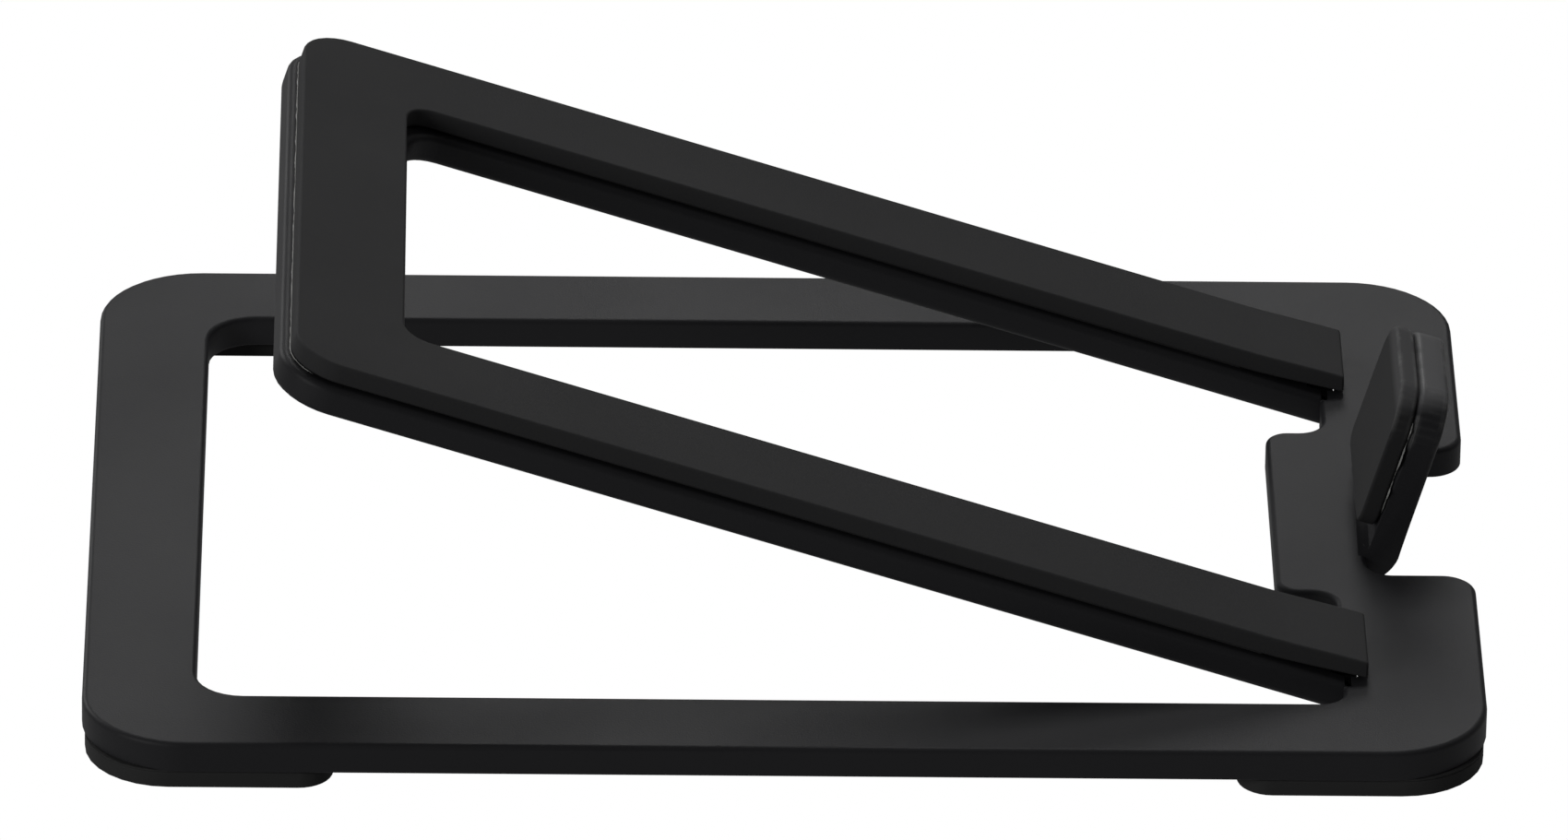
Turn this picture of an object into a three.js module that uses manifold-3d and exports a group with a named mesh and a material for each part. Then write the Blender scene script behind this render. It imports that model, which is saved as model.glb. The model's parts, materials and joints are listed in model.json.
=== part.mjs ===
// Folding laptop stand: a flat steel base with a bent-up stop tab, and a U-shaped lift frame that
// swings up on two friction hinges at the front of the base window.
// Millimetres. +X runs from the back of the stand to the user's side, +Y across it, +Z up.
// The origin is under the middle of the base, on the surface that the rubber feet stand on.
import * as THREE from 'three';
import { mergeVertices } from 'three/addons/utils/BufferGeometryUtils.js';
import Module from 'manifold-3d';

// ---------- driving dimensions ----------
const GAP = 0.3; // clear space kept between pieces that rest on each other

// base plate
const BASE_L = 220;
const BASE_W = 162.6;
const BASE_R = 16.5;
const PLATE_T = 5; // one gauge of steel for the base and the lift frame
const FOOT_H = 2.8;
const PLATE_Z = FOOT_H + GAP; // underside of the base plate

// window in the base, with the tongue that carries the stop
const WIN_BACK = -92.2;
const WIN_FRONT = 87.7;
const ARM_POCKET_X = 89; // in line with the arms the window reaches a little further
const WIN_HALF = 64.7;
const WIN_R = 7.5;
const SLOT_R = 4;
const TONGUE_BACK = 78.4;
const TONGUE_HALF = 27.5;
const TONGUE_R = 3.5;

// notch in the front edge and the stop tab bent up out of it
const NOTCH_HALF = 21.3;
const NOTCH_BACK = 93;
const NOTCH_IN_R = 4;
const NOTCH_OUT_R = 5.3;
const TAB_HALF = 15.3;
const TAB_LEAN = THREE.MathUtils.degToRad(16.3);
const BEND_X = 91.6; // where the bend starts
const BEND_R = 2; // inner bend radius
const TAB_LEN = 26.9; // straight length above the bend
const TAB_R = 7;
const STOP_PAD_T = 2.9;
const STOP_PAD_START = 2.9; // up the tab from the end of the bend
const STOP_PAD_R = 3;

// lift frame, measured back from its hinge axis while it lies flat
const REST_TILT = THREE.MathUtils.degToRad(17.7);
const AXIS_X = 87.9;
const AXIS_Z = PLATE_Z + PLATE_T / 2;
const LIFT_L = 176.2;
const LIFT_HALF = 58.9;
const LIFT_BAR = 20.4; // width of the crossbar
const LIFT_ARM = 19.7; // width of each arm
const LIFT_RADII = [9.4, 6, 0.5]; // outer corners, inner corners, arm ends
const OVERRUN = 2; // the arms and the pad are drawn this much too long, then cut plumb

// rubber pad on the lift frame
const PAD_INSET = 1.4;
const PAD_T = 3.2;
const PAD_TAIL = 3.7; // how far each end reaches past the hinge axis
const PAD_RADII = [8, 4.6, 0.5]; // outer corners, inner corners, front ends
const FLEX_START = -14; // the base presses the ends up from here on
const FLEX_RISE = 1.25; // how far the tip of an end is lifted
const FLEX_SOFT = 4; // how gently the lift begins
const FLEX_THIN = 0.7; // how much thinner the pressed tip becomes

// corner feet
const FOOT_L = 39;
const FOOT_W = 14.3;
const FOOT_INSET = 0.5;
const FOOT_R = 5.5;

// friction hinges
const HINGE_Y = 49; // middle of each arm
const BARREL_R = 2.3;
const PIN_R = 0.85;
const BORE_R = PIN_R + GAP;
const LEAF_T = 1.2;
const LEAF_L = 16;
const LEAF_LOW = -BARREL_R; // outer face, tangent to the barrel and just inside the plate
const LEAF_TOP = LEAF_LOW + LEAF_T;
const LEAF_START = BARREL_R + GAP; // clears the other leaf's knuckles
const KNUCKLE_OUT = 2.4;
const KNUCKLE_IN = 5;
const WASHER_T = 0.6;
const WASHER_R = 2.1;
const HINGE_W = 2 * KNUCKLE_OUT + KNUCKLE_IN + 2 * (WASHER_T + 2 * GAP);
const POCKET_W = HINGE_W + 1.8;
const POCKET_DEPTH = BARREL_R + 0.8;
const RECESS_L = LEAF_L + 0.5;
const SCREW_ROWS = [-3.4, 3.4];
const SCREW_X = 11;
const HEAD_R = 2.2;
const SHANK_R = 1.1;
const SCREW_DEPTH = 2.4;
const SOCKET_R = 0.85;
const SOCKET_DEPTH = 0.7;

// ---------- boolean helpers ----------
const wasm = await Module();
wasm.setup();

function toSolid(geometry) {
  const bare = geometry.clone();
  bare.deleteAttribute('normal');
  bare.deleteAttribute('uv');
  const merged = mergeVertices(bare, 1e-4);
  return new wasm.Manifold(new wasm.Mesh({
    numProp: 3,
    vertProperties: new Float32Array(merged.attributes.position.array),
    triVerts: new Uint32Array(merged.index.array),
  }));
}

function toGeometry(solid) {
  const mesh = solid.getMesh();
  const geometry = new THREE.BufferGeometry();
  geometry.setAttribute('position', new THREE.BufferAttribute(mesh.vertProperties, 3));
  geometry.setIndex(new THREE.BufferAttribute(mesh.triVerts, 1));
  geometry.computeVertexNormals();
  return geometry;
}

// ---------- outline helpers ----------
// A closed outline from corners [x, y, radius], each corner rounded with its own radius.
function roundedOutline(corners, arcSteps = 8) {
  const points = [];
  corners.forEach(([x, y, radius], i) => {
    const before = corners.at(i - 1);
    const after = corners[(i + 1) % corners.length];
    const corner = new THREE.Vector2(x, y);
    if (radius === 0) {
      points.push(corner);
      return;
    }
    const back = new THREE.Vector2(before[0], before[1]).sub(corner).normalize();
    const ahead = new THREE.Vector2(after[0], after[1]).sub(corner).normalize();
    const half = Math.acos(back.dot(ahead)) / 2;
    const middle = back.clone().add(ahead).normalize().multiplyScalar(radius / Math.sin(half));
    const centre = corner.clone().add(middle);
    const from = corner.clone().addScaledVector(back, radius / Math.tan(half)).sub(centre);
    const sweep = Math.PI - 2 * half;
    const turn = Math.sign(back.cross(ahead)) * -1;
    for (let step = 0; step <= arcSteps; step += 1) {
      const arm = from.clone().rotateAround(new THREE.Vector2(), turn * sweep * (step / arcSteps));
      points.push(centre.clone().add(arm));
    }
  });
  return points;
}

// An outline in X and Y, extruded from z0 to z1. The extruder wants outlines anticlockwise.
function prism(outline, z0, z1, holes = []) {
  const ordered = THREE.ShapeUtils.isClockWise(outline) ? [...outline].reverse() : outline;
  const shape = new THREE.Shape(ordered);
  holes.forEach((hole) => shape.holes.push(new THREE.Path(hole)));
  const geometry = new THREE.ExtrudeGeometry(shape, { depth: z1 - z0, bevelEnabled: false });
  return geometry.translate(0, 0, z0);
}

// A profile drawn in X and Z, extruded across Y from y0 to y1.
function crossPrism(profile, y0, y1, holes = []) {
  const geometry = prism(profile, -y1, -y0, holes);
  return geometry.rotateX(Math.PI / 2);
}

function circle(radius, sides = 20) {
  const points = [];
  for (let i = 0; i < sides; i += 1) {
    const angle = (2 * Math.PI * i) / sides;
    points.push(new THREE.Vector2(radius * Math.cos(angle), radius * Math.sin(angle)));
  }
  return points;
}

function block(x0, x1, y0, y1, z0, z1) {
  const geometry = new THREE.BoxGeometry(x1 - x0, y1 - y0, z1 - z0);
  return geometry.translate((x0 + x1) / 2, (y0 + y1) / 2, (z0 + z1) / 2);
}

// ---------- materials ----------
const finishes = {
  powderCoat: { color: 0x2b2c2f, roughness: 0.55, metalness: 0.1 },
  rubber: { color: 0x232325, roughness: 0.85, metalness: 0 },
  steel: { color: 0x55575a, roughness: 0.35, metalness: 0.9 },
  blackened: { color: 0x2c2d2f, roughness: 0.45, metalness: 0.8 },
};

function part(name, geometry, finish) {
  const mesh = new THREE.Mesh(geometry, new THREE.MeshStandardMaterial(finishes[finish]));
  mesh.name = name;
  return mesh;
}

// ---------- base plate ----------
// What one hinge takes out of a plate, drawn about the hinge axis: a slot for the knuckles, a
// recess under the plate for the leaf, and screw holes. `side` is 1 for the base, -1 for the lift.
function hingeCuts(side) {
  const span = (a, b) => [Math.min(side * a, side * b), Math.max(side * a, side * b)];
  const [slot0, slot1] = span(-1, POCKET_DEPTH);
  const [recess0, recess1] = span(POCKET_DEPTH - 1, RECESS_L);
  const half = POCKET_W / 2;
  const cuts = [
    toSolid(block(slot0, slot1, -half, half, -PLATE_T, PLATE_T)),
    toSolid(block(recess0, recess1, -half, half, -PLATE_T, LEAF_TOP + GAP)),
  ];
  for (const row of SCREW_ROWS) {
    const hole = prism(circle(SHANK_R + GAP, 16), LEAF_TOP, LEAF_TOP + SCREW_DEPTH + GAP);
    cuts.push(toSolid(hole.translate(side * SCREW_X, row, 0)));
  }
  return cuts;
}

function windowOutline() {
  const half = [
    [WIN_BACK, WIN_HALF, WIN_R],
    [WIN_FRONT, WIN_HALF, SLOT_R],
    [WIN_FRONT, TONGUE_HALF, SLOT_R],
    [TONGUE_BACK, TONGUE_HALF, TONGUE_R],
  ];
  const mirrored = half.map(([x, y, r]) => [x, -y, r]).reverse();
  return roundedOutline([...half, ...mirrored]);
}

function baseOutline() {
  const front = BASE_L / 2;
  const side = BASE_W / 2;
  const half = [
    [-front, side, BASE_R],
    [front, side, BASE_R],
    [front, NOTCH_HALF, NOTCH_OUT_R],
    [NOTCH_BACK, NOTCH_HALF, NOTCH_IN_R],
    [NOTCH_BACK, TAB_HALF, 0],
    [BEND_X, TAB_HALF, 0],
  ];
  const mirrored = half.map(([x, y, r]) => [x, -y, r]).reverse();
  return roundedOutline([...half, ...mirrored], 12);
}

// The tab stands on the end of the bend. Its own frame has Y across, s up the tab and n through it.
const tabFrame = new THREE.Group();
tabFrame.position.set(BEND_X, 0, PLATE_Z + PLATE_T + BEND_R);
tabFrame.rotation.set(0, TAB_LEAN, 0);
tabFrame.updateMatrix();

// An outline in (y, s) becomes a solid between n0 and n1, where n = 0 is the tab's front face.
function tabPrism(outline, n0, n1) {
  const geometry = prism(outline, n0 + BEND_R, n1 + BEND_R);
  // the outline's x, y and depth become the tab frame's Y, Z and X
  const turn = new THREE.Matrix4().makeBasis(
    new THREE.Vector3(0, 1, 0),
    new THREE.Vector3(0, 0, 1),
    new THREE.Vector3(1, 0, 0),
  );
  return geometry.applyMatrix4(turn).applyMatrix4(tabFrame.matrix);
}

function tabProfile() {
  const centre = new THREE.Vector2(BEND_X, PLATE_Z + PLATE_T + BEND_R);
  const up = new THREE.Vector2(Math.sin(TAB_LEAN), Math.cos(TAB_LEAN)).multiplyScalar(TAB_LEN);
  const bend = Math.PI / 2 - TAB_LEAN;
  const arc = (radius, steps) => {
    const points = [];
    for (let i = 0; i <= steps; i += 1) {
      const angle = (bend * i) / steps;
      const x = centre.x + radius * Math.sin(angle);
      points.push(new THREE.Vector2(x, centre.y - radius * Math.cos(angle)));
    }
    return points;
  };
  const outer = arc(BEND_R + PLATE_T, 14);
  const inner = arc(BEND_R, 8).reverse();
  const root = BEND_X - 1;
  return [
    new THREE.Vector2(root, PLATE_Z),
    ...outer,
    outer.at(-1).clone().add(up),
    inner[0].clone().add(up),
    ...inner,
    new THREE.Vector2(root, PLATE_Z + PLATE_T),
  ];
}

// The room that one arm's end needs to swing in the front of the window.
function armPocket() {
  const half = LIFT_ARM / 2 + 0.5;
  return toSolid(block(WIN_FRONT - 1, ARM_POCKET_X, -half, half, 0, 3 * PLATE_T));
}

function basePlate() {
  const plate = toSolid(prism(baseOutline(), PLATE_Z, PLATE_Z + PLATE_T, [windowOutline()]));
  const strip = toSolid(crossPrism(tabProfile(), -TAB_HALF, TAB_HALF));
  const belowBend = -2 * TAB_LEN;
  const face = roundedOutline([
    [-TAB_HALF, belowBend, 0],
    [TAB_HALF, belowBend, 0],
    [TAB_HALF, TAB_LEN, TAB_R],
    [-TAB_HALF, TAB_LEN, TAB_R],
  ]);
  const tab = strip.intersect(toSolid(tabPrism(face, -2 * PLATE_T, 3 * PLATE_T)));
  let solid = plate.add(tab);
  for (const y of [-HINGE_Y, HINGE_Y]) {
    solid = solid.subtract(armPocket().translate([0, y, 0]));
    for (const cut of hingeCuts(1)) solid = solid.subtract(cut.translate([AXIS_X, y, AXIS_Z]));
  }
  return part('base_plate', toGeometry(solid), 'powderCoat');
}

function stopPad() {
  const outline = roundedOutline([
    [-TAB_HALF, STOP_PAD_START, STOP_PAD_R],
    [TAB_HALF, STOP_PAD_START, STOP_PAD_R],
    [TAB_HALF, TAB_LEN, TAB_R],
    [-TAB_HALF, TAB_LEN, TAB_R],
  ]);
  return part('stop_pad', tabPrism(outline, -GAP - STOP_PAD_T, -GAP), 'rubber');
}

// One foot under each corner, its outer corner concentric with the plate's.
function foot(name, sideX, sideY) {
  const x1 = BASE_L / 2 - FOOT_INSET;
  const y1 = BASE_W / 2 - FOOT_INSET;
  const x0 = x1 - FOOT_L;
  const y0 = y1 - FOOT_W;
  const cornerR = Math.min(BASE_R - FOOT_INSET, FOOT_W - 1);
  let corners = [
    [x0, y0, FOOT_R],
    [x1, y0, 1],
    [x1, y1, cornerR],
    [x0, y1, FOOT_R],
  ];
  corners = corners.map(([x, y, r]) => [sideX * x, sideY * y, r]);
  if (sideX * sideY < 0) corners.reverse();
  return part(name, prism(roundedOutline(corners), 0, FOOT_H), 'rubber');
}

// ---------- lift frame, drawn flat about its hinge axis ----------
// A U open to the front: its crossbar at the back, its arms ending at x = armEnd.
function uOutline(length, halfOut, halfIn, bar, armEnd, [rOut, rIn, rEnd]) {
  const half = [
    [-length, halfOut, rOut],
    [armEnd, halfOut, rEnd],
    [armEnd, halfIn, rEnd],
    [bar - length, halfIn, rIn],
  ];
  const mirrored = half.map(([x, y, r]) => [x, -y, r]).reverse();
  return roundedOutline([...half, ...mirrored]);
}

// Everything in front of a face that stands plumb, x past the axis, while the frame is raised.
function beyondPlumb(x) {
  const front = block(x, x + LIFT_L, -LIFT_L, LIFT_L, -LIFT_L, LIFT_L);
  return toSolid(front.rotateY(-REST_TILT));
}

function liftFrame() {
  const inner = LIFT_HALF - LIFT_ARM;
  const outline = uOutline(LIFT_L, LIFT_HALF, inner, LIFT_BAR, OVERRUN, LIFT_RADII);
  let solid = toSolid(prism(outline, -PLATE_T / 2, PLATE_T / 2)).subtract(beyondPlumb(0));
  for (const y of [-HINGE_Y, HINGE_Y]) {
    for (const cut of hingeCuts(-1)) solid = solid.subtract(cut.translate([0, y, 0]));
  }
  return part('lift_frame', toGeometry(solid), 'powderCoat');
}

function framePad() {
  const bottom = PLATE_T / 2 + GAP;
  const halfOut = LIFT_HALF - PAD_INSET;
  const halfIn = LIFT_HALF - LIFT_ARM + PAD_INSET;
  const length = LIFT_L - PAD_INSET;
  const bar = LIFT_BAR - 2 * PAD_INSET;
  const end = PAD_TAIL + OVERRUN;
  const outline = uOutline(length, halfOut, halfIn, bar, end, PAD_RADII);
  // side view of the pad: flat along the frame, its front end pressed up in a shallow curve
  const steps = 14;
  const reach = end - FLEX_START;
  const bow = (along) => Math.hypot(along, FLEX_SOFT) - FLEX_SOFT;
  const under = [];
  const over = [];
  for (let i = 0; i <= steps; i += 1) {
    const along = (reach * i) / steps;
    const low = bottom + (FLEX_RISE * bow(along)) / bow(reach);
    const thin = FLEX_THIN * (i / steps) ** 2;
    under.push(new THREE.Vector2(FLEX_START + along, low));
    over.unshift(new THREE.Vector2(FLEX_START + along, low + PAD_T - thin));
  }
  const back = -LIFT_L;
  const profile = [
    new THREE.Vector2(back, bottom),
    ...under,
    ...over,
    new THREE.Vector2(back, bottom + PAD_T),
  ];
  const sheet = toSolid(crossPrism(profile, -LIFT_HALF, LIFT_HALF));
  const solid = sheet.intersect(toSolid(prism(outline, 0, 4 * PLATE_T)));
  return part('frame_pad', toGeometry(solid.subtract(beyondPlumb(PAD_TAIL))), 'rubber');
}

// ---------- hinges, drawn about the hinge axis at x = z = 0 ----------
// A knuckle: a barrel on the axis with a foot that runs out to its leaf.
function knuckle(side, y0, y1) {
  const root = Math.min(0, side * (LEAF_START + 1));
  const barrel = toSolid(crossPrism(circle(BARREL_R, 24), y0, y1));
  const foot = block(root, root + LEAF_START + 1, y0, y1, LEAF_LOW, LEAF_TOP);
  const bore = toSolid(crossPrism(circle(BORE_R), y0 - 1, y1 + 1));
  return barrel.add(toSolid(foot)).subtract(bore);
}

function hingeLeaf(name, side, spans) {
  const x0 = Math.min(side * LEAF_START, side * LEAF_L);
  const x1 = Math.max(side * LEAF_START, side * LEAF_L);
  let solid = toSolid(block(x0, x1, -HINGE_W / 2, HINGE_W / 2, LEAF_LOW, LEAF_TOP));
  for (const [y0, y1] of spans) solid = solid.add(knuckle(side, y0, y1));
  for (const row of SCREW_ROWS) {
    const sink = new THREE.LatheGeometry([
      new THREE.Vector2(0, LEAF_LOW - GAP),
      new THREE.Vector2(HEAD_R + 2 * GAP, LEAF_LOW - GAP),
      new THREE.Vector2(HEAD_R + GAP, LEAF_LOW),
      new THREE.Vector2(SHANK_R + GAP, LEAF_TOP),
      new THREE.Vector2(SHANK_R + GAP, LEAF_TOP + GAP),
      new THREE.Vector2(0, LEAF_TOP + GAP),
    ], 20).rotateX(Math.PI / 2).translate(side * SCREW_X, row, 0);
    solid = solid.subtract(toSolid(sink));
  }
  return part(name, toGeometry(solid), 'blackened');
}

function hingePin(name) {
  const half = HINGE_W / 2 + GAP;
  return part(name, crossPrism(circle(PIN_R, 16), -half, half), 'steel');
}

function frictionWasher(name, y) {
  const ring = crossPrism(circle(WASHER_R), y - WASHER_T / 2, y + WASHER_T / 2, [circle(BORE_R)]);
  return part(name, ring, 'steel');
}

// A countersunk screw driven up through a leaf, with a hexagon socket in its head.
function leafScrew(name, side, row) {
  const body = new THREE.LatheGeometry([
    new THREE.Vector2(0, LEAF_LOW),
    new THREE.Vector2(HEAD_R, LEAF_LOW),
    new THREE.Vector2(SHANK_R, LEAF_TOP - GAP / 2),
    new THREE.Vector2(SHANK_R, LEAF_TOP + SCREW_DEPTH),
    new THREE.Vector2(0, LEAF_TOP + SCREW_DEPTH),
  ], 20).rotateX(Math.PI / 2);
  const socket = prism(circle(SOCKET_R, 6), LEAF_LOW - 1, LEAF_LOW + SOCKET_DEPTH);
  const solid = toSolid(body).subtract(toSolid(socket)).translate([side * SCREW_X, row, 0]);
  return part(name, toGeometry(solid), 'steel');
}

// Pieces of one hinge, split into those that stay with the base and those that swing.
function hinge(label) {
  const fixed = new THREE.Group();
  const moving = new THREE.Group();
  const outer = HINGE_W / 2;
  const fixedSpans = [[-outer, -outer + KNUCKLE_OUT], [outer - KNUCKLE_OUT, outer]];
  fixed.add(hingeLeaf(`${label}_hinge_base_leaf`, 1, fixedSpans));
  moving.add(hingeLeaf(`${label}_hinge_lift_leaf`, -1, [[-KNUCKLE_IN / 2, KNUCKLE_IN / 2]]));
  fixed.add(hingePin(`${label}_hinge_pin`));
  const washerY = KNUCKLE_IN / 2 + GAP + WASHER_T / 2;
  fixed.add(frictionWasher(`${label}_hinge_washer_a`, -washerY));
  fixed.add(frictionWasher(`${label}_hinge_washer_b`, washerY));
  SCREW_ROWS.forEach((row, i) => {
    const letter = 'ab'[i];
    fixed.add(leafScrew(`${label}_base_screw_${letter}`, 1, row));
    moving.add(leafScrew(`${label}_lift_screw_${letter}`, -1, row));
  });
  return { fixed, moving };
}

// ---------- assembly ----------
const group = new THREE.Group();
const atAxis = new THREE.Group(); // hinge pieces that stay with the base
atAxis.position.set(AXIS_X, 0, AXIS_Z);
const lift = new THREE.Group(); // everything that swings, raised to its working angle
lift.position.set(AXIS_X, 0, AXIS_Z);
lift.rotation.set(0, REST_TILT, 0);
group.add(basePlate(), stopPad(), atAxis, lift);
for (const [end, sideX] of [['front', 1], ['back', -1]]) {
  for (const [hand, sideY] of [['near', -1], ['far', 1]]) {
    group.add(foot(`foot_${end}_${hand}`, sideX, sideY));
  }
}
lift.add(liftFrame(), framePad());
for (const [label, y] of [['near', -HINGE_Y], ['far', HINGE_Y]]) {
  const { fixed, moving } = hinge(label);
  fixed.position.y = y;
  moving.position.y = y;
  atAxis.add(fixed);
  lift.add(moving);
}

export default group;
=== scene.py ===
# %% [markdown]
# # A folding laptop stand in Blender
# The stand is a flat steel base with a bent-up stop, and a U-shaped frame that swings up on two
# hinges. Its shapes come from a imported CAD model. This script gives them their looks: rounded
# edges, a black powder coat, rubber pads, blackened hinges, dried glue, light and a camera. It
# works in metres.

# %% Load the CAD model as a fixed frame
import json
import math

import bmesh
import bpy
from mathutils import Matrix, Vector, noise


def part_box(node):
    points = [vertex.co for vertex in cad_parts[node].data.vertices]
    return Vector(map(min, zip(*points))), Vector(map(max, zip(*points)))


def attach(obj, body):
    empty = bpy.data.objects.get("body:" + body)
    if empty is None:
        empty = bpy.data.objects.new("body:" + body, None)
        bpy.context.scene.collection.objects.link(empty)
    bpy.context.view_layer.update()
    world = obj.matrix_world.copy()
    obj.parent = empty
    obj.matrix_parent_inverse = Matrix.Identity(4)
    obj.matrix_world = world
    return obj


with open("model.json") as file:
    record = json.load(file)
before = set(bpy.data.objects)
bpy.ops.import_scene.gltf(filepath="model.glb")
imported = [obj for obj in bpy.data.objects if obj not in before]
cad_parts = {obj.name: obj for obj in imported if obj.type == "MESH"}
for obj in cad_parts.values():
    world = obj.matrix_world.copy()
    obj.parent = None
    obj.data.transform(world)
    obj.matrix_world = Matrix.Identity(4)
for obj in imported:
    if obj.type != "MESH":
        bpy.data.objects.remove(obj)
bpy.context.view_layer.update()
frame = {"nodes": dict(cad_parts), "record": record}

NODES = frame["nodes"]
MM = 0.001

# %% [markdown]
# ## The camera
# The stand is shown from above its long near side, with its parallel edges almost parallel. An
# orthographic camera would make them exactly so, but a long lens far away keeps the slight
# narrowing that a real lens has. The camera stands on a sphere round the point that it aims at,
# which needs only a distance, two angles and a small roll.

# %% Aim a long lens at the stand
AIM = Vector((0.53, 9.63, 18.64)) * MM
DISTANCE = 2.875
ELEVATION = math.radians(27.36)
AZIMUTH = math.radians(-1.1)
ROLL = math.radians(0.97)
LENS_MM = 412.8
SENSOR_MM = 36
NEAREST = 0.1

camera_data = bpy.data.cameras.new("camera")
camera_data.sensor_width = SENSOR_MM
camera_data.lens = LENS_MM
camera_data.clip_start = NEAREST
camera = bpy.data.objects.new("camera", camera_data)
bpy.context.scene.collection.objects.link(camera)
offset = Vector((
    math.sin(AZIMUTH) * math.cos(ELEVATION),
    -math.cos(AZIMUTH) * math.cos(ELEVATION),
    math.sin(ELEVATION),
))
facing = (-offset).to_track_quat("-Z", "Y").to_matrix().to_4x4()
place = Matrix.Translation(AIM + offset * DISTANCE)
camera.matrix_world = place @ facing @ Matrix.Rotation(ROLL, 4, "Z")
bpy.context.scene.camera = camera
print("camera at", [round(v, 3) for v in camera.matrix_world.translation])

# %% [markdown]
# ## Node helpers
# Materials here are built from nodes, because a node tree can vary colour, roughness and bump over
# a surface at any scale. Two small helpers keep the trees readable: one adds a node with its
# settings, and the other wires sockets together by name.

# %% Helpers that build shader nodes
def add_node(tree, kind, settings=None, **inputs):
    """Adds a node, sets its properties, and sets the inputs named by keyword to plain values."""
    node = tree.nodes.new(kind)
    for key, value in (settings or {}).items():
        setattr(node, key, value)
    for key, value in inputs.items():
        node.inputs[key.replace("_", " ")].default_value = value
    return node


def wire(tree, source, target):
    """Joins an output to an input, each given as (node, socket name or number)."""
    tree.links.new(source[0].outputs[source[1]], target[0].inputs[target[1]])


def math_node(tree, operation, first, second=None, clamp=False):
    """A Math node whose operands are either numbers or (node, socket) pairs."""
    node = add_node(tree, "ShaderNodeMath", {"operation": operation, "use_clamp": clamp})
    for index, operand in enumerate((first, second)):
        if isinstance(operand, tuple):
            wire(tree, operand, (node, index))
        elif operand is not None:
            node.inputs[index].default_value = operand
    return node


def ramp(tree, source, stops):
    """A Color Ramp fed by source, with (position, brightness) stops."""
    node = add_node(tree, "ShaderNodeValToRGB")
    elements = node.color_ramp.elements
    while len(elements) < len(stops):
        elements.new(0.5)
    for element, (position, brightness) in zip(elements, stops):
        element.position = position
        element.color = (brightness, brightness, brightness, 1)
    wire(tree, source, (node, "Fac"))
    return node


print("node helpers ready")

# %% [markdown]
# ## Effects that several finishes share
# Grain, blotches, dust and worn edges turn up on coated steel and on rubber alike. Each is a shader
# node group with named inputs, built once and placed in every material with its own values. The
# groups put out only masks and heights, so the shader itself stays in each material. The first one
# is the surface of sprayed powder or moulded rubber: small round pebbles, finer noise over them,
# and slow blotches where the coat is a little thicker.

# %% A group for fine grain and slow blotches
def new_group(name, inputs, outputs):
    """A shader node group. inputs are (name, default) pairs, and every socket is a float."""
    group = bpy.data.node_groups.new(name, "ShaderNodeTree")
    for title, default in inputs:
        socket = group.interface.new_socket(title, in_out="INPUT", socket_type="NodeSocketFloat")
        socket.default_value = default
    for title in outputs:
        group.interface.new_socket(title, in_out="OUTPUT", socket_type="NodeSocketFloat")
    entry = group.nodes.new("NodeGroupInput")
    leave = group.nodes.new("NodeGroupOutput")
    return group, entry, leave


def make_grain_group():
    """Height: small pebbles, as sprayed powder or moulded rubber has. Blotch: slow drift, 0 to 1."""
    group, entry, leave = new_group(
        "fine_grain",
        [("Grain Scale", 3000.0), ("Fine Scale", 9000.0), ("Blotch Scale", 18.0)],
        ["Height", "Blotch", "Speck"],
    )
    place = add_node(group, "ShaderNodeTexCoord")
    pebbles = add_node(group, "ShaderNodeTexVoronoi", {"feature": "SMOOTH_F1"})
    pebbles.inputs["Smoothness"].default_value = 0.8
    fine = add_node(group, "ShaderNodeTexNoise", Detail=3.0, Roughness=0.6)
    slow = add_node(group, "ShaderNodeTexNoise", Detail=4.0, Roughness=0.55)
    for texture, scale in ((pebbles, "Grain Scale"), (fine, "Fine Scale"), (slow, "Blotch Scale")):
        wire(group, (place, "Object"), (texture, "Vector"))
        wire(group, (entry, scale), (texture, "Scale"))
    dome = math_node(group, "SUBTRACT", 1.0, (pebbles, "Distance"))
    mixed = math_node(group, "MULTIPLY", (fine, "Fac"), 0.5)
    height = math_node(group, "ADD", (dome, 0), (mixed, 0))
    speck = ramp(group, (fine, "Fac"), [(0.62, 0.0), (0.75, 1.0)])
    wire(group, (height, 0), (leave, "Height"))
    wire(group, (slow, "Fac"), (leave, "Blotch"))
    wire(group, (speck, "Color"), (leave, "Speck"))
    return group


GRAIN = make_grain_group()
print("group", GRAIN.name, "made")

# %% [markdown]
# Edges look paler because hands and tools wear them first. They could be painted by hand, but
# Blender's Bevel shader node finds them by itself: it gives a normal that turns near an edge.
# Where that differs from the true normal there is an edge, and a noise breaks the mask into short
# stretches, as real wear is.

# %% A group that finds worn edges
WEAR_WIDTH = 0.9 * MM


def make_edge_group():
    """Edge: 1 on edges and 0 on flat faces. Broken Edge: the same, in patches."""
    group, entry, leave = new_group(
        "edge_wear", [("Patch Scale", 60.0), ("Gain", 6.0)], ["Edge", "Broken Edge"]
    )
    shape = add_node(group, "ShaderNodeNewGeometry")
    rounded = add_node(group, "ShaderNodeBevel", {"samples": 6}, Radius=WEAR_WIDTH)
    agree = add_node(group, "ShaderNodeVectorMath", {"operation": "DOT_PRODUCT"})
    wire(group, (shape, "True Normal"), (agree, 0))
    wire(group, (rounded, "Normal"), (agree, 1))
    turned = math_node(group, "SUBTRACT", 1.0, (agree, "Value"), clamp=True)
    edge = math_node(group, "MULTIPLY", (turned, 0), (entry, "Gain"), clamp=True)
    place = add_node(group, "ShaderNodeTexCoord")
    patches = add_node(group, "ShaderNodeTexNoise", Detail=5.0, Roughness=0.65)
    wire(group, (place, "Object"), (patches, "Vector"))
    wire(group, (entry, "Patch Scale"), (patches, "Scale"))
    gate = ramp(group, (patches, "Fac"), [(0.46, 0.0), (0.62, 1.0)])
    broken = math_node(group, "MULTIPLY", (edge, 0), (gate, "Color"))
    wire(group, (edge, 0), (leave, "Edge"))
    wire(group, (broken, 0), (leave, "Broken Edge"))
    return group


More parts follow.
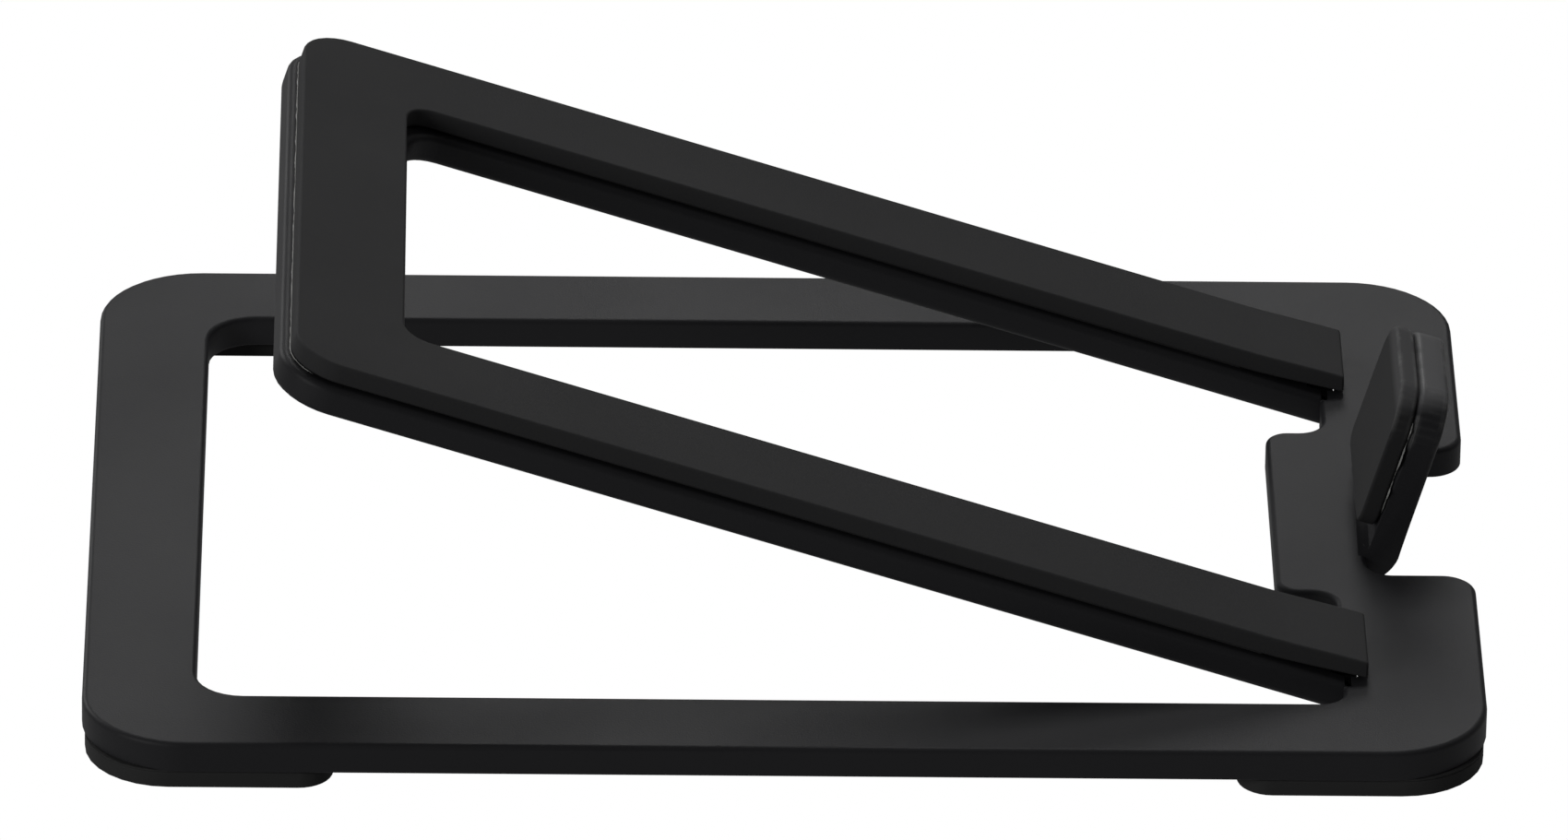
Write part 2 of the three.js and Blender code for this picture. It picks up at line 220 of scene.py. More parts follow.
EDGES = make_edge_group()
print("group", EDGES.name, "made")

# %% [markdown]
# Dust lies on faces that look up, more in some places than in others. The upward part of the
# normal, times a cloudy noise, is enough.

# %% A group for a film of dust
def make_dust_group():
    """Dust: how much dust lies here, 0 to 1."""
    group, entry, leave = new_group("dust", [("Cloud Scale", 35.0), ("Amount", 1.0)], ["Dust"])
    shape = add_node(group, "ShaderNodeNewGeometry")
    split = add_node(group, "ShaderNodeSeparateXYZ")
    wire(group, (shape, "Normal"), (split, "Vector"))
    up = ramp(group, (split, "Z"), [(0.55, 0.0), (0.95, 1.0)])
    place = add_node(group, "ShaderNodeTexCoord")
    cloud = add_node(group, "ShaderNodeTexNoise", Detail=6.0, Roughness=0.7)
    wire(group, (place, "Object"), (cloud, "Vector"))
    wire(group, (entry, "Cloud Scale"), (cloud, "Scale"))
    gate = ramp(group, (cloud, "Fac"), [(0.4, 0.0), (0.8, 1.0)])
    both = math_node(group, "MULTIPLY", (up, "Color"), (gate, "Color"))
    scaled = math_node(group, "MULTIPLY", (both, 0), (entry, "Amount"), clamp=True)
    wire(group, (scaled, 0), (leave, "Dust"))
    return group


DUST = make_dust_group()
print("group", DUST.name, "made")

# %% [markdown]
# Near the top of the bent-up stop the light catches the edges and the end face, and this is painted
# into the colour: painted highlights in patches on the edges, and a painted lighter end face. Height
# alone tells where that is, so this group turns the height of a point into two shares, and uses the
# edge group inside itself for the patches.

# %% A group for the painted highlights on the top of the stop
TOP_HIGHLIGHT_HEIGHTS = [("Start", 26 * MM), ("End", 34 * MM), ("Top Start", 32.5 * MM), ("Top End", 34.5 * MM)]
EDGE_HIGHLIGHT_PATCHES = 160.0
EDGE_HIGHLIGHT_GAIN = 20.0


def make_top_highlight_group():
    """The first output is 1 on patches of edges near the top, where painted highlights go. The second
    is 1 on the topmost millimetre, where the end face is painted lighter.
    """
    group, entry, leave = new_group("painted_top_highlight", TOP_HIGHLIGHT_HEIGHTS, ["Edge Highlight", "Top"])
    place = add_node(group, "ShaderNodeTexCoord")
    split = add_node(group, "ShaderNodeSeparateXYZ")
    wire(group, (place, "Object"), (split, "Vector"))
    edges = add_node(group, "ShaderNodeGroup", {"node_tree": EDGES})
    edges.inputs["Patch Scale"].default_value = EDGE_HIGHLIGHT_PATCHES
    edges.inputs["Gain"].default_value = EDGE_HIGHLIGHT_GAIN
    shares = []
    for low, high in (("Start", "End"), ("Top Start", "Top End")):
        span = add_node(group, "ShaderNodeMapRange")
        wire(group, (split, "Z"), (span, "Value"))
        wire(group, (entry, low), (span, "From Min"))
        wire(group, (entry, high), (span, "From Max"))
        shares.append(span)
    edge_highlight = math_node(group, "MULTIPLY", (edges, "Broken Edge"), (shares[0], "Result"))
    wire(group, (edge_highlight, 0), (leave, "Edge Highlight"))
    wire(group, (shares[1], "Result"), (leave, "Top"))
    return group


TOP_HIGHLIGHT = make_top_highlight_group()
print("group", TOP_HIGHLIGHT.name, "made")

# %% [markdown]
# ## A recipe for a finish
# Every finish on this stand follows one pattern: a base colour that drifts with the blotches,
# lighter on worn edges and under dust, a roughness that drifts too, and a bump from the grain. So
# one function builds a material from a short list of numbers, and each finish below differs only
# in them. The colour comes first: it is built up in layers, as wear and dust are.

# %% The colour of a finish, layer by layer
SPECK_STRENGTH = 0.25
SPECK_GAIN = 1.8
WORN_GAIN = 3.2
TOP_SHARE = 0.9
DUST_COLOUR = (0.16, 0.155, 0.15, 1)
# Colours of the painted highlights near the top of the stop: a lighter end face and pale edges.
TOP_HIGHLIGHT_COLOUR = (0.2, 0.2, 0.205, 1)
EDGE_HIGHLIGHT_COLOUR = (0.5, 0.5, 0.49, 1)


def group_node(tree, group, **inputs):
    node = add_node(tree, "ShaderNodeGroup", {"node_tree": group})
    for key, value in inputs.items():
        node.inputs[key.replace("_", " ")].default_value = value
    return node


def blend_colour(tree, factor, strength, under, over):
    """Mixes the colour `over` onto `under` by factor times strength, and returns the Mix node."""
    amount = math_node(tree, "MULTIPLY", factor, strength, clamp=True)
    mix = add_node(tree, "ShaderNodeMix", {"data_type": "RGBA"})
    wire(tree, (amount, 0), (mix, 0))
    if isinstance(under, tuple) and isinstance(under[0], bpy.types.Node):
        wire(tree, under, (mix, 6))
    else:
        mix.inputs[6].default_value = under
    mix.inputs[7].default_value = over
    return mix


def brighter(colour, gain):
    return [min(1, gain * part) for part in colour]


def finish_colour(tree, surface, dark, light, edge, dust, highlight_strength):
    """Blotches, specks, worn edges, dust and the painted highlights near the top of the stop over
    each other. Returns the last Mix node.
    """
    edges = group_node(tree, EDGES)
    dusty = group_node(tree, DUST)
    spread = ramp(tree, (surface, "Blotch"), [(0.35, 0.0), (0.65, 1.0)])
    drift = blend_colour(tree, (spread, "Color"), 1.0, dark, light)
    pale, bare = brighter(light, SPECK_GAIN), brighter(light, WORN_GAIN)
    specks = blend_colour(tree, (surface, "Speck"), SPECK_STRENGTH, (drift, 2), pale)
    worn = blend_colour(tree, (edges, "Broken Edge"), edge, (specks, 2), bare)
    film = blend_colour(tree, (dusty, "Dust"), dust, (worn, 2), DUST_COLOUR)
    # Painted highlights near the top of the stop: the end face painted lighter, then pale patches on
    # its edges.
    if highlight_strength:
        highlights = group_node(tree, TOP_HIGHLIGHT)
        top_lit = blend_colour(tree, (highlights, "Top"), TOP_SHARE * highlight_strength, (film, 2), TOP_HIGHLIGHT_COLOUR)
        film = blend_colour(tree, (highlights, "Edge Highlight"), highlight_strength, (top_lit, 2), EDGE_HIGHLIGHT_COLOUR)
    return film


print("colour layers ready")

# %% [markdown]
# The rest of the recipe is the shader. Values that are the same all over go straight onto its
# sockets, and only what changes over the surface comes through wires.

# %% One function that builds a finish
def grey(value, blue=1.0):
    return (value, value, value * blue, 1.0)


def make_finish(
    name, dark, light, rough, grain, bump, edge=0.3, dust=0.2, metal=0.0, shine=0.5, highlight_strength=0.0
):
    """dark and light are colours, rough a (low, high) pair, grain the group's scales, bump metres.

    The last argument is how strongly highlights are painted near the top of the stop.
    """
    material = bpy.data.materials.new(name)
    material.use_nodes = True
    tree = material.node_tree
    shader = tree.nodes["Principled BSDF"]
    shader.inputs["Metallic"].default_value = metal
    shader.inputs["Specular IOR Level"].default_value = shine
    pebble, fine, blotch = grain
    surface = group_node(tree, GRAIN, Grain_Scale=pebble, Fine_Scale=fine, Blotch_Scale=blotch)
    film = finish_colour(tree, surface, dark, light, edge, dust, highlight_strength)
    wire(tree, (film, 2), (shader, "Base Color"))
    low, high = rough
    span = add_node(tree, "ShaderNodeMapRange")
    span.inputs["From Min"].default_value = 0.3
    span.inputs["From Max"].default_value = 0.7
    span.inputs["To Min"].default_value = low
    span.inputs["To Max"].default_value = high
    wire(tree, (surface, "Blotch"), (span, "Value"))
    wire(tree, (span, "Result"), (shader, "Roughness"))
    height = add_node(tree, "ShaderNodeBump", Strength=1.0, Distance=bump)
    wire(tree, (surface, "Height"), (height, "Height"))
    wire(tree, (height, "Normal"), (shader, "Normal"))
    return material


print("finish recipe ready")

# %% [markdown]
# ## The finishes
# The steel is powder coated: a satin black with a very fine pebble, about a third of a millimetre,
# slightly cool. It gets its grey sheen from a broad, low reflection more than from its own colour.
# The pads are a rougher rubber with a coarser tooth, and the feet are plain moulded rubber. The
# hinges are blackened stamped leaves on ground steel pins, held by black screws. The base plate
# and the stop pad have finishes of their own, because only they reach the top of the stop, where
# highlights are painted into the colour.

# %% Powder coat, rubber, feet and hinge steel
COAT = (grey(0.026, 1.1), grey(0.03, 1.1), (0.5, 0.58), (3400.0, 9000.0, 16.0), 0.000012)
COAT_WEAR = {"edge": 0.14, "dust": 0.035, "shine": 0.3}
PAD_ROUGH, PAD_GRAIN, PAD_BUMP = (0.74, 0.86), (2200.0, 7000.0, 22.0), 0.00002
PAD_WEAR = {"edge": 0.1, "dust": 0.05, "shine": 0.35}

FINISHES = {
    "powder_coat": make_finish("powder_coat", *COAT, **COAT_WEAR),
    "pad_rubber": make_finish(
        "pad_rubber", grey(0.047, 1.03), grey(0.053, 1.03), PAD_ROUGH, PAD_GRAIN, PAD_BUMP, **PAD_WEAR
    ),
    "foot_rubber": make_finish(
        "foot_rubber", grey(0.046), grey(0.054), (0.7, 0.85),
        (1800.0, 6000.0, 25.0), 0.00002, edge=0.08, dust=0.02, shine=0.35,
    ),
    "hinge_leaf": make_finish(
        "hinge_leaf", grey(0.03, 1.03), grey(0.042, 1.03), (0.4, 0.55),
        (1500.0, 5000.0, 60.0), 0.000008, edge=0.3, dust=0.03, metal=1.0,
    ),
    "hinge_steel": make_finish(
        "hinge_steel", grey(0.12), grey(0.17), (0.25, 0.4),
        (2500.0, 9000.0, 80.0), 0.000005, edge=0.2, dust=0.03, metal=1.0,
    ),
    "screw_steel": make_finish(
        "screw_steel", grey(0.05), grey(0.07), (0.3, 0.45),
        (2500.0, 9000.0, 90.0), 0.000006, edge=0.5, dust=0.03, metal=1.0,
    ),
}
# These two finishes carry the painted highlights near the top of the stop.
HIGHLIGHTED_FINISHES = {
    "base_plate": make_finish("powder_coat_top_highlight", *COAT, highlight_strength=0.8, **COAT_WEAR),
    "stop_pad": make_finish(
        "pad_rubber_top_highlight", grey(0.033, 1.03), grey(0.038, 1.03), PAD_ROUGH, PAD_GRAIN, PAD_BUMP,
        highlight_strength=0.45, **PAD_WEAR,
    ),
}
print("finishes:", ", ".join(FINISHES))

# %% [markdown]
# ## Rounded edges on the CAD pieces
# No real edge is perfectly sharp. The plates are cut, tumbled and then coated, which leaves about a
# millimetre, and rubber sheet is cut with a softer edge. A Bevel modifier adds this without touching
# the mesh. By default it limits itself to the smallest feature of the whole piece, which here is a
# screw hole, so each edge gets a weight of its own instead. Two tight places need less than the full
# radius: the hinge pockets and the root of the bent-up tab. They are boxes, measured from the pieces
# that sit in them.

# %% The tight places
POCKET_MARGIN = 4.8 * MM  # how far past a hinge leaf's side its pocket's edges reach
ROOT_MARGIN = 2.5 * MM  # the same past a leaf's ends, and round the root of the tab
ROOT_OVERHANG = 0.4 * ROOT_MARGIN  # how far past the stop pad's side the root reaches


def tight_places():
    """The boxes of a hinge pocket and of the tab's root, as ((x0, x1), (y0, y1), (z0, z1))."""
    leaf_low, leaf_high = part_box("far_hinge_base_leaf")
    lift_low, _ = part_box("far_hinge_lift_leaf")
    tab_low, tab_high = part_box("stop_pad")
    plate_low, plate_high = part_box("base_plate")
    pocket = (
        (lift_low.x - ROOT_MARGIN, leaf_high.x + ROOT_MARGIN),
        (leaf_low.y - POCKET_MARGIN, leaf_high.y + POCKET_MARGIN),
        (plate_low.z - ROOT_MARGIN, plate_high.z),
    )
    root = (
        (leaf_low.x + ROOT_MARGIN, leaf_high.x - ROOT_MARGIN),
        (tab_high.y - ROOT_MARGIN, tab_high.y + ROOT_OVERHANG),
        (plate_low.z - ROOT_MARGIN, tab_low.z - ROOT_MARGIN),
    )
    return pocket, root


def inside(tree, value, low, high):
    """1 where a value is between two limits, else 0."""
    middle, half = (low + high) / 2, (high - low) / 2
    off = math_node(tree, "ABSOLUTE", (math_node(tree, "SUBTRACT", value, middle), 0))
    return math_node(tree, "LESS_THAN", (off, 0), half)


def zone(tree, split, across, box):
    """1 inside a box, where y is measured from the middle of the stand."""
    in_x = inside(tree, (split, "X"), *box[0])
    in_y = inside(tree, (across, 0), *box[1])
    in_z = inside(tree, (split, "Z"), *box[2])
    both = math_node(tree, "MULTIPLY", (in_x, 0), (in_y, 0))
    return math_node(tree, "MULTIPLY", (both, 0), (in_z, 0))


POCKET, ROOT = tight_places()
print("hinge pocket in mm:", [[round(v / MM, 1) for v in span] for span in POCKET])

# %% [markdown]
# The weights come from a small geometry node group. It first welds the mesh, because a piece whose
# faces don't share their corners has no edges to round. Then it stores a weight on each edge that
# is sharp enough. Fine is the share kept in the pockets, and Under the share kept on the underside
# of the base, which stays crisper so that the feet sit flush against it.

# %% A node group that weights the edges to round
CREASE = math.radians(30)
WELD = 0.002 * MM
UNDER_HEIGHT = 0.5 * MM  # edges lower than this above the base plate's bottom lie on its underside


def edge_share(group, entry):
    """The share of the full radius that an edge keeps where it lies, as a Math node."""
    place = add_node(group, "GeometryNodeInputPosition")
    split = add_node(group, "ShaderNodeSeparateXYZ")
    wire(group, (place, "Position"), (split, "Vector"))
    across = math_node(group, "ABSOLUTE", (split, "Y"))
    in_pocket = zone(group, split, across, POCKET)
    at_root = zone(group, split, across, ROOT)
    less = math_node(group, "SUBTRACT", 1.0, (entry, "Fine"))
    shrunk = math_node(group, "MULTIPLY", (in_pocket, 0), (less, 0))
    under_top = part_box("base_plate")[0].z + UNDER_HEIGHT
    low_down = math_node(group, "LESS_THAN", (split, "Z"), under_top)
    lost = math_node(group, "SUBTRACT", 1.0, (entry, "Under"))
    kept_sharp = math_node(group, "MULTIPLY", (low_down, 0), (lost, 0))
    worst = math_node(group, "MAXIMUM", (shrunk, 0), (kept_sharp, 0))
    cut = math_node(group, "MAXIMUM", (worst, 0), (at_root, 0))
    return math_node(group, "SUBTRACT", 1.0, (cut, 0))


def make_edge_marker():
    """Welds a mesh and stores a bevel weight on its sharp edges."""
    group = bpy.data.node_groups.new("mark_sharp_edges", "GeometryNodeTree")
    group.interface.new_socket("Mesh", in_out="INPUT", socket_type="NodeSocketGeometry")
    group.interface.new_socket("Fine", in_out="INPUT", socket_type="NodeSocketFloat")
    group.interface.new_socket("Under", in_out="INPUT", socket_type="NodeSocketFloat")
    group.interface.new_socket("Mesh", in_out="OUTPUT", socket_type="NodeSocketGeometry")
    entry, leave = group.nodes.new("NodeGroupInput"), group.nodes.new("NodeGroupOutput")
    weld = add_node(group, "GeometryNodeMergeByDistance", Distance=WELD)
    angle = add_node(group, "GeometryNodeInputMeshEdgeAngle")
    sharp = math_node(group, "GREATER_THAN", (angle, "Unsigned Angle"), CREASE)
    share = edge_share(group, entry)
    weight = math_node(group, "MULTIPLY", (sharp, 0), (share, 0))
    settings = {"data_type": "FLOAT", "domain": "EDGE"}
    store = add_node(group, "GeometryNodeStoreNamedAttribute", settings, Name="bevel_weight_edge")
    wire(group, (entry, "Mesh"), (weld, "Geometry"))
    wire(group, (weld, "Geometry"), (store, "Geometry"))
    wire(group, (weight, 0), (store, "Value"))
    wire(group, (store, "Geometry"), (leave, "Mesh"))
    return group


EDGE_MARKER = make_edge_marker()
print("group", EDGE_MARKER.name, "made")

# %% [markdown]
# Each CAD piece then gets its finish and four modifiers, in order: weight the edges, join flat
# triangles into whole faces, round by weight, and let the big flat faces decide the shading.
# Without the last one, a rounded edge would smear its shading over the whole plate. Only the two
# plates have tight places. Small steel parts are broken by a tenth of a millimetre, where the
# bevel may limit itself.

# %% Put finishes and rounded edges on every CAD node
SLOT_OF = {row["node"]: row["material_slot"] for row in frame["record"]["subparts"]}
FINE = 0.1 * MM
ROUND = {
    "base_plate": 0.9 * MM,
    "lift_frame": 1.15 * MM,
    "frame_pad": 0.42 * MM,
    "stop_pad": 0.5 * MM,
    "foot": 0.4 * MM,
}
PLATES = ("base_plate", "lift_frame")
FLAT = math.radians(0.5)
UNDER_SHARE = 0.25


def add_modifier(piece, name, kind, **settings):
    modifier = piece.modifiers.new(name, kind)
    for key, value in settings.items():
        setattr(modifier, key, value)
    return modifier


def round_edges(piece, radius, fine_share, under_share):
    """Rounds a piece's sharp edges, those in pockets and on the underside by a share of radius."""
    mark = add_modifier(piece, "mark", "NODES", node_group=EDGE_MARKER)
    mark["Socket_1"] = fine_share
    mark["Socket_2"] = under_share
    add_modifier(piece, "join_flats", "DECIMATE", decimate_type="DISSOLVE", angle_limit=FLAT)
    add_modifier(piece, "round", "BEVEL", width=radius, segments=4, limit_method="WEIGHT",
                 use_clamp_overlap=radius == FINE)
    add_modifier(piece, "shade", "WEIGHTED_NORMAL", keep_sharp=False)


for name, piece in NODES.items():
    piece.data.materials.clear()
    piece.data.materials.append(HIGHLIGHTED_FINISHES.get(name, FINISHES[SLOT_OF[name]]))
    for face in piece.data.polygons:
        face.use_smooth = True
    radius = next((width for word, width in ROUND.items() if name.startswith(word)), FINE)
    fine_share = FINE / radius if name in PLATES else 1.0
    round_edges(piece, radius, fine_share, UNDER_SHARE if name == "base_plate" else 1.0)
print("finished CAD pieces:", len(NODES))

# %% [markdown]
# ## Glue
# The pads are stuck on. Under each pad and foot is a thin dark layer of adhesive, which closes the
# gap that the CAD leaves. Behind the stop pad some glue has squeezed out and dried as a pale, uneven
# line. Along the back edge of the frame's pad a fine pale bead of the same kind is a painted
# highlight of that edge. All of it follows the outline of a pad's glued face. That outline could be
# drawn again by hand, but reading it from the CAD node keeps both in step.

# %% Read the outline of a pad's glued face
def glued_outline(node, toward):
    """The loop of points round the largest flat face that looks a given way, and its normal."""
    mesh = bmesh.new()
    mesh.from_mesh(NODES[node].data)
    bmesh.ops.remove_doubles(mesh, verts=mesh.verts, dist=WELD)
    facing = [face for face in mesh.faces if face.normal.dot(toward) > 0.5]
    normal = max(facing, key=lambda face: face.calc_area()).normal.copy()
    flat = {face for face in facing if face.normal.dot(normal) > math.cos(FLAT)}
    sides = {edge for face in flat for edge in face.edges}
    rim = {edge for edge in sides if sum(face in flat for face in edge.link_faces) == 1}
    start = min((vert for edge in rim for vert in edge.verts), key=lambda vert: tuple(vert.co))
    loop, vert = [], start
    while rim:
        edge = next((edge for edge in vert.link_edges if edge in rim), None)
        if edge is None:
            break
        loop.append(vert.co.copy())
        rim.discard(edge)
        vert = edge.other_vert(vert)
    mesh.free()
    return loop, normal


def outward_of(loop, normal):
    """For each point of a closed loop, the direction in the face that points out of it."""
    count = len(loop)
    sides = [(loop[(i + 1) % count] - loop[i]).cross(normal).normalized() for i in range(count)]
    area = sum((loop[i].cross(loop[(i + 1) % count])).dot(normal) for i in range(count))
    turn = 1 if area > 0 else -1
    return [turn * (sides[i] + sides[i - 1]).normalized() for i in range(count)]


STOP_LOOP, STOP_NORMAL = glued_outline("stop_pad", Vector((1, 0, 0)))
print("stop pad outline:", len(STOP_LOOP), "points")

# %% [markdown]
# A layer of adhesive is that outline filled with one face and raised into a closed sheet. Under the
# pads it is set back from the edge, as a sheet of tape is. Under the feet it reaches the edge, so
# that the side of a foot runs straight up into the side of the plate.

# %% Layers of adhesive under the pads and feet
LAYER_GAP = 0.3 * MM  # what the CAD leaves between a pad and its plate
LAYER_CLEAR = 0.01 * MM
LAYER_INSET = 0.9 * MM
FOOT_INSET = 0.0


def adhesive_layer(name, node, toward, body, slot, inset=LAYER_INSET):
    """A closed sheet that fills the gap beyond a glued face, set back from its outline."""
    loop, normal = glued_outline(node, toward)
    inner = [point - inset * out for point, out in zip(loop, outward_of(loop, normal))]
    mesh = bmesh.new()
    sheet = mesh.faces.new([mesh.verts.new(point + LAYER_CLEAR * normal) for point in inner])
    raised = bmesh.ops.extrude_face_region(mesh, geom=[sheet])["geom"]
    top = [item for item in raised if isinstance(item, bmesh.types.BMVert)]
    bmesh.ops.translate(mesh, verts=top, vec=(LAYER_GAP - 2 * LAYER_CLEAR) * normal)
    bmesh.ops.recalc_face_normals(mesh, faces=mesh.faces)
    return keep_piece(name, mesh, body, slot)


def keep_piece(name, mesh, body, slot, finish=None):
    """Turns a bmesh into a finished piece that rides on a body."""
    data = bpy.data.meshes.new(name)
    mesh.to_mesh(data)
    mesh.free()
    data.materials.append(finish or FINISHES[slot])
    piece = bpy.data.objects.new(name, data)
    bpy.context.scene.collection.objects.link(piece)
    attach(piece, body)
    return piece


adhesive_layer("stop_pad_adhesive", "stop_pad", Vector((1, 0, 0)), "base", "pad_rubber")
adhesive_layer("frame_pad_adhesive", "frame_pad", Vector((0, 0, -1)), "lift", "pad_rubber")
for foot in sorted(name for name in NODES if name.startswith("foot")):
    adhesive_layer(foot + "_adhesive", foot, Vector((0, 0, 1)), "base", "foot_rubber", FOOT_INSET)
print("adhesive layers made")

# %% [markdown]
# A dried bead of glue is thick in one place and gone in the next. A curve with a round bevel would
# be even all along, so the bead is a tube whose rings swell and shrink with a noise, and it never
# looks drawn with a ruler.

# %% A tube of glue, also used for a painted highlight
GLUE_AND_HIGHLIGHT = make_finish(
    "dried_glue_and_highlight", grey(0.5, 0.97), grey(0.72, 0.96), (0.35, 0.5),
    (1500.0, 6000.0, 400.0), 0.000008, edge=0.0, dust=0.0, shine=0.5,
)
BEAD_STEP = 0.35 * MM
BEAD_SIDES = 8
SLOW_SWELL, FAST_SWELL = 420, 1300  # per metre
MEAN_AMOUNT, LEAST_AMOUNT = 0.55, 0.1
TAPER_RINGS = 4
FILL = 0.46  # half the bead's height as a share of the gap, a little less than a half


def bead_amount(ring, last_ring, seed, patchy):
    """How much glue there is at a ring, from almost none to 1, tapered at both ends."""
    along = ring * BEAD_STEP
    slow = noise.noise(Vector((along * SLOW_SWELL, seed, 0.3)))
    fast = noise.noise(Vector((along * FAST_SWELL, seed, 7.1)))
    taper = min(1, ring / TAPER_RINGS, (last_ring - ring) / TAPER_RINGS)
    amount = max(LEAST_AMOUNT, min(1, MEAN_AMOUNT + patchy * (slow + 0.5 * fast)))
    return amount * max(LEAST_AMOUNT, taper)


def glue_and_highlight_bead(name, line, normal, body, wide, seed, proud=0.0, patchy=1.1):
    """A pale tube in the gap beyond a glued face: dried glue, and along the frame's pad a painted
    highlight. line is (point, outward) pairs.

    It is wide at its thickest, stands proud of the outline there, and varies as patchy says.
    """
    mesh = bmesh.new()
    rings = []
    for i, (point, out) in enumerate(line):
        amount = bead_amount(i, len(line) - 1, seed, patchy)
        centre = point + (LAYER_GAP / 2) * normal + (proud - wide * (1 - amount)) * out
        ring = []
        for k in range(BEAD_SIDES):
            turn = 2 * math.pi * k / BEAD_SIDES
            spread = wide * amount * math.cos(turn) * out
            lift = FILL * LAYER_GAP * amount * math.sin(turn) * normal
            ring.append(mesh.verts.new(centre + spread + lift))
        rings.append(ring)
    for low, high in zip(rings, rings[1:]):
        for k in range(BEAD_SIDES):
            j = (k + 1) % BEAD_SIDES
            mesh.faces.new((low[k], low[j], high[j], high[k]))
    mesh.faces.new(rings[0])
    mesh.faces.new(rings[-1])
    bmesh.ops.recalc_face_normals(mesh, faces=mesh.faces)
    for face in mesh.faces:
        face.smooth = True
    return keep_piece(name, mesh, body, "pad_rubber", GLUE_AND_HIGHLIGHT)


print("glue finish", GLUE_AND_HIGHLIGHT.name, "and tube ready")

# %% [markdown]
# The beads don't go all the way round. The stop pad has one of glue down each side, ending short of
# the top, and the frame's pad has a fine pale one along its back edge, a painted highlight of that
# edge. So a run of the outline is cut out by a test on the height or place of its points, and spaced
# evenly for the rings.

# %% Beads of dried glue, and a painted highlight along the frame's pad
def resample(points, outs, step):
    """Evenly spaced points along a line of points, with the outward directions in step."""
    samples = []
    for a, b, out_a, out_b in zip(points, points[1:], outs, outs[1:]):
        count = max(1, round((b - a).length / step))
        for i in range(count):
            t = i / count
            samples.append((a.lerp(b, t), out_a.lerp(out_b, t).normalized()))
    return samples + [(points[-1], outs[-1])]


def run_along(loop, normal, keep):
    """The unbroken run of an outline that a test keeps, as evenly spaced (point, outward) pairs."""
    outs = outward_of(loop, normal)
    pairs = resample(loop + loop[:1], outs + outs[:1], BEAD_STEP)[:-1]
    first = next(i for i in range(len(pairs)) if keep(pairs[i][0]) and not keep(pairs[i - 1][0]))
    turned = pairs[first:] + pairs[:first]
    run = []
    for pair in turned:
        if not keep(pair[0]):
            break
        run.append(pair)
    return run


glue_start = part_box("stop_pad")[0].z + 3.0 * MM
glue_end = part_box("stop_pad")[1].z - 4.5 * MM
for side, name in ((-1, "stop_pad_glue_near"), (1, "stop_pad_glue_far")):
    def on_this_side(point):
        return glue_start < point.z < glue_end and point.y * side > 0

    stop_run = run_along(STOP_LOOP, STOP_NORMAL, on_this_side)
    glue_and_highlight_bead(name, stop_run, STOP_NORMAL, "base", 0.42 * MM, 3.0 + side, proud=0.14 * MM)
pad_loop, pad_normal = glued_outline("frame_pad", Vector((0, 0, -1)))
back_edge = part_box("frame_pad")[0].x + 4.0 * MM
pad_run = run_along(pad_loop, pad_normal, lambda point: point.x < back_edge)
# A fine pale bead along the back edge of the frame's pad: a painted highlight of that edge.
glue_and_highlight_bead(
    "frame_pad_edge_highlight", pad_run, pad_normal, "lift", 0.16 * MM, 9.0, proud=-0.03 * MM, patchy=0.35
)
print("glue beads have", len(stop_run), "and", len(pad_run), "rings")

# %% [markdown]
# ## Floor, light and world
# The stand sits on a plain floor that looks evenly white. A lit white floor would be uneven, and
# would throw so much light up that the black sides turn grey. So the camera sees a plain glow, the
# gloss of the stand sees a weaker one, and all other light meets a darker matt floor.

# %% A pale floor
FLOOR_SIZE = 30.0
FLOOR_COLOUR = (0.14, 0.14, 0.14, 1)
FLOOR_IN_GLOSS = 0.3
floor_mesh = bpy.data.meshes.new("floor")
half = FLOOR_SIZE / 2
floor_mesh.from_pydata(
    [(-half, -half, 0), (half, -half, 0), (half, half, 0), (-half, half, 0)], [], [(0, 1, 2, 3)]
)
floor = bpy.data.objects.new("floor", floor_mesh)
bpy.context.scene.collection.objects.link(floor)
floor_finish = bpy.data.materials.new("floor_white")
floor_finish.use_nodes = True
floor_tree = floor_finish.node_tree
floor_shader = floor_tree.nodes["Principled BSDF"]
floor_shader.inputs["Base Color"].default_value = FLOOR_COLOUR
floor_shader.inputs["Roughness"].default_value = 0.9
floor_shader.inputs["Specular IOR Level"].default_value = 0.0
rays = add_node(floor_tree, "ShaderNodeLightPath")
glossy = math_node(floor_tree, "MULTIPLY", (rays, "Is Glossy Ray"), FLOOR_IN_GLOSS)
glow_strength = math_node(floor_tree, "ADD", (rays, "Is Camera Ray"), (glossy, 0))
glow = add_node(floor_tree, "ShaderNodeEmission", Color=(1, 1, 1, 1))
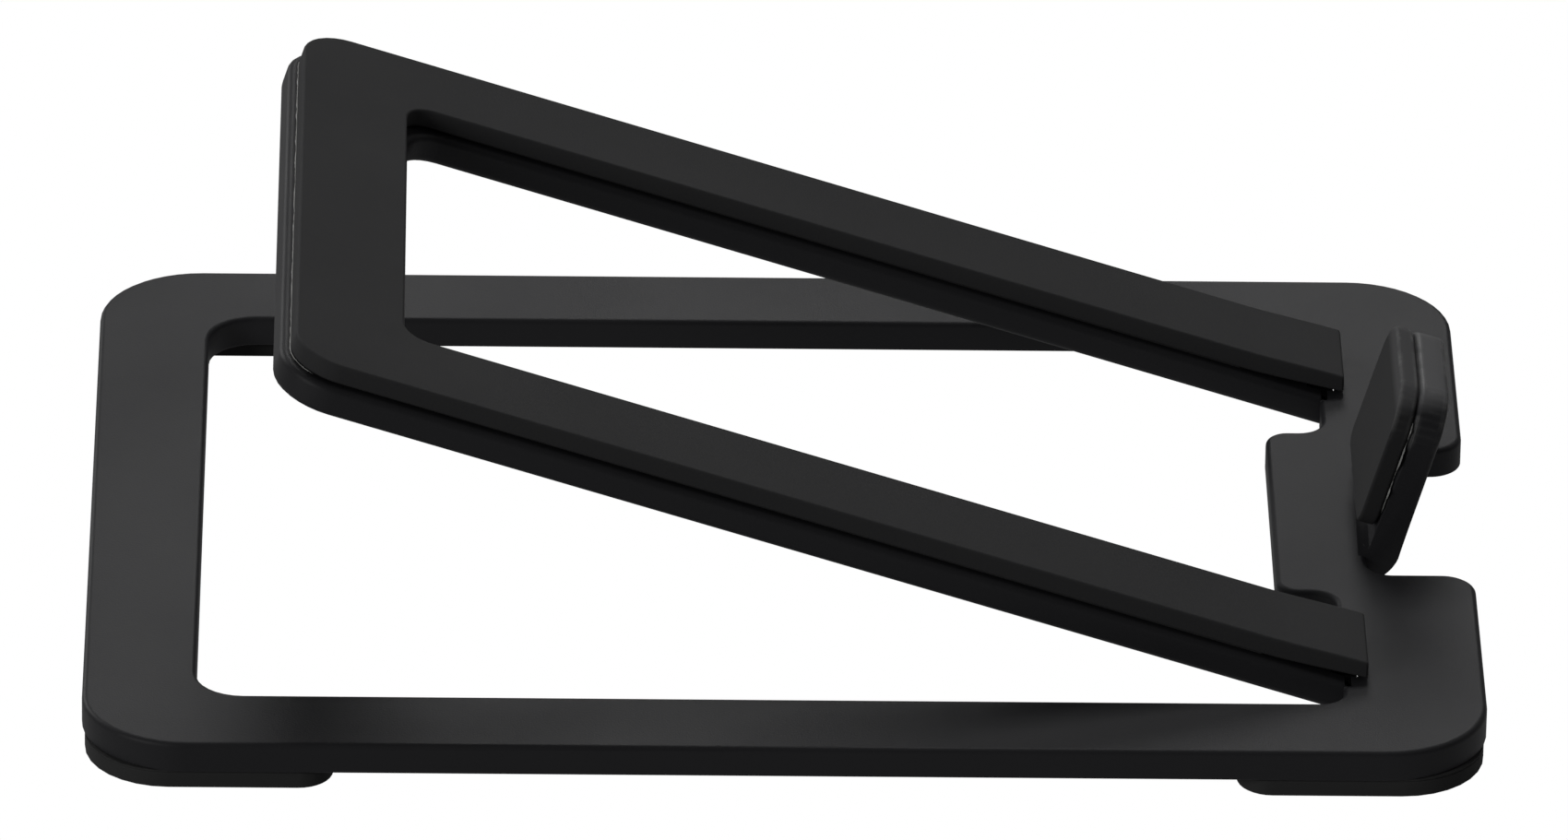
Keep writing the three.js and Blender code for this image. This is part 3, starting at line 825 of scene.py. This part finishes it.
wire(floor_tree, (glow_strength, 0), (glow, "Strength"))
seen = math_node(floor_tree, "MAXIMUM", (rays, "Is Camera Ray"), (rays, "Is Glossy Ray"))
sight = add_node(floor_tree, "ShaderNodeMixShader")
wire(floor_tree, (seen, 0), (sight, "Fac"))
wire(floor_tree, (floor_shader, "BSDF"), (sight, 1))
wire(floor_tree, (glow, "Emission"), (sight, 2))
wire(floor_tree, (sight, "Shader"), (floor_tree.nodes["Material Output"], "Surface"))
floor_mesh.materials.append(floor_finish)
print("floor is", FLOOR_SIZE, "m square")

# %% [markdown]
# Black things show their shape by what they reflect. The key panel stands low behind the stand, where
# the flat tops mirror it toward the viewer, which gives them a grey sheen that the raised arms cut
# off. The top panel is higher, and drops the shadow of the frame onto the near bar. The left panel
# lights the raised end of the frame, a weak one on the right opens the shadows a little, and the
# corner panel, in front, keeps the near sides from going black.

# %% Soft studio light
WORLD_STRENGTH = 0.06


def panel(name, place, aim, size, power):
    """A square area light at place, turned to face aim."""
    data = bpy.data.lights.new(name, "AREA")
    data.size = size
    data.energy = power
    light = bpy.data.objects.new(name, data)
    bpy.context.scene.collection.objects.link(light)
    turn = (Vector(aim) - Vector(place)).to_track_quat("-Z", "Y").to_matrix().to_4x4()
    light.matrix_world = Matrix.Translation(Vector(place)) @ turn
    return light


panel("key", (0.1, 2.06, 1.16), (0, 0, 0), 0.7, 4.4)
panel("top", (0.1, 1.3, 2.0), (0, 0, 0), 0.7, 9)
panel("left", (-1.1, 1.3, 0.55), (0, 0, 0.04), 0.4, 4.5)
panel("right", (1.6, 0.6, 1.5), (0, 0, 0.03), 0.8, 1.5)
panel("corner", (-1.8, -1.5, 1.0), (0, 0, 0.03), 0.9, 12)
world = bpy.data.worlds.new("studio")
world.use_nodes = True
world.node_tree.nodes["Background"].inputs["Color"].default_value = (1, 1, 1, 1)
world.node_tree.nodes["Background"].inputs["Strength"].default_value = WORLD_STRENGTH
bpy.context.scene.world = world
bpy.context.scene.view_settings.view_transform = "Standard"
